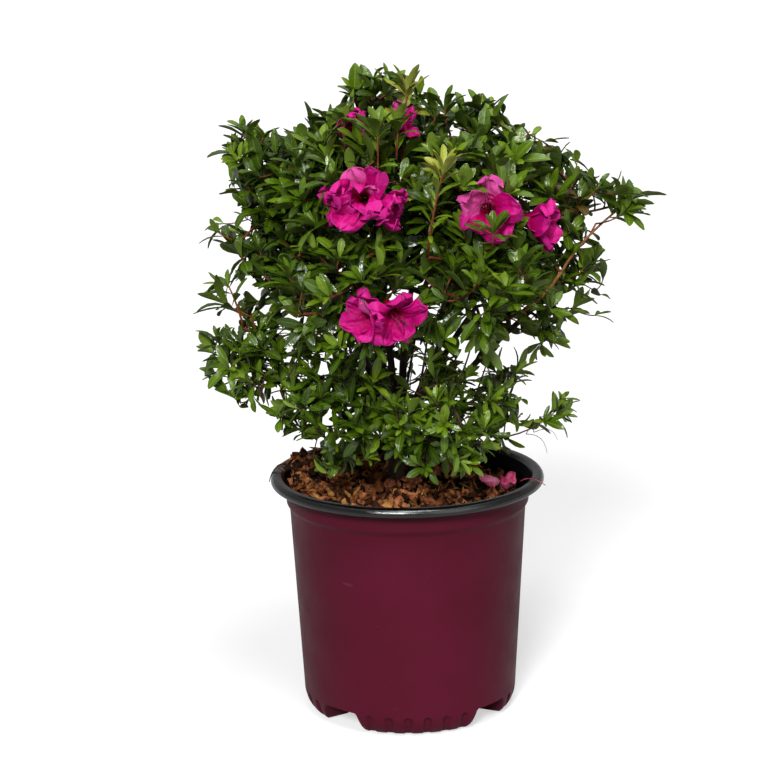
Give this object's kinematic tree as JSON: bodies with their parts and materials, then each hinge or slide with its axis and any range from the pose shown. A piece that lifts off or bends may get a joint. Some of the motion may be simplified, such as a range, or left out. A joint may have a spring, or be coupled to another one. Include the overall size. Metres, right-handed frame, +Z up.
{
  "type": "potted azalea shrub",
  "caption": "Flowering azalea shrub with a short trunk, forking boughs and masses of small evergreen leaves, in a round tapered nursery pot filled with bark mix.",
  "frame": {"origin": "middle of the flat pad under the pot, on the surface that the pot stands on", "axes": "+Z up, the front of the plant faces -Y, and +X is on the right as seen from the front"},
  "size_m": [0.3373, 0.2699, 0.4813],
  "materials": {
    "pot_plastic": "semi-matte maroon outside, black rim and inside",
    "potting_mix": "moist reddish-brown bark chips",
    "bark": "rough grey-brown bark, redder on young twigs",
    "leaf": "glossy dark green leaves and magenta blooms"
  },
  "bodies": {
    "root": {"pot": "pot_plastic", "potting_mix": "potting_mix", "trunk": "bark", "bough_top_left": "bark", "bough_heart": "bark", "bough_mid_left": "bark", "bough_mid_right": "bark", "bough_mid_front_left": "bark", "bough_mid_front_right": "bark", "bough_mid_back_left": "bark", "bough_mid_back_right": "bark", "bough_low_left": "bark", "bough_low_right": "bark", "bough_low_front_left": "bark", "bough_low_front": "bark", "bough_low_back": "bark", "bough_up_left": "bark", "bough_up_right": "bark", "bough_up_front_left": "bark", "bough_up_front_right": "bark", "bough_up_back": "bark", "bough_top_right": "bark", "foliage_top_left": "leaf", "foliage_heart": "leaf", "foliage_mid_left": "leaf", "foliage_mid_right": "leaf", "foliage_mid_front_left": "leaf", "foliage_mid_front_right": "leaf", "foliage_mid_back_left": "leaf", "foliage_mid_back_right": "leaf", "foliage_low_left": "leaf", "foliage_low_right": "leaf", "foliage_low_front_left": "leaf", "foliage_low_front": "leaf", "foliage_low_back": "leaf", "foliage_up_left": "leaf", "foliage_up_right": "leaf", "foliage_up_front_left": "leaf", "foliage_up_front_right": "leaf", "foliage_up_back": "leaf", "foliage_top_right": "leaf"}
  },
  "joints": []
}
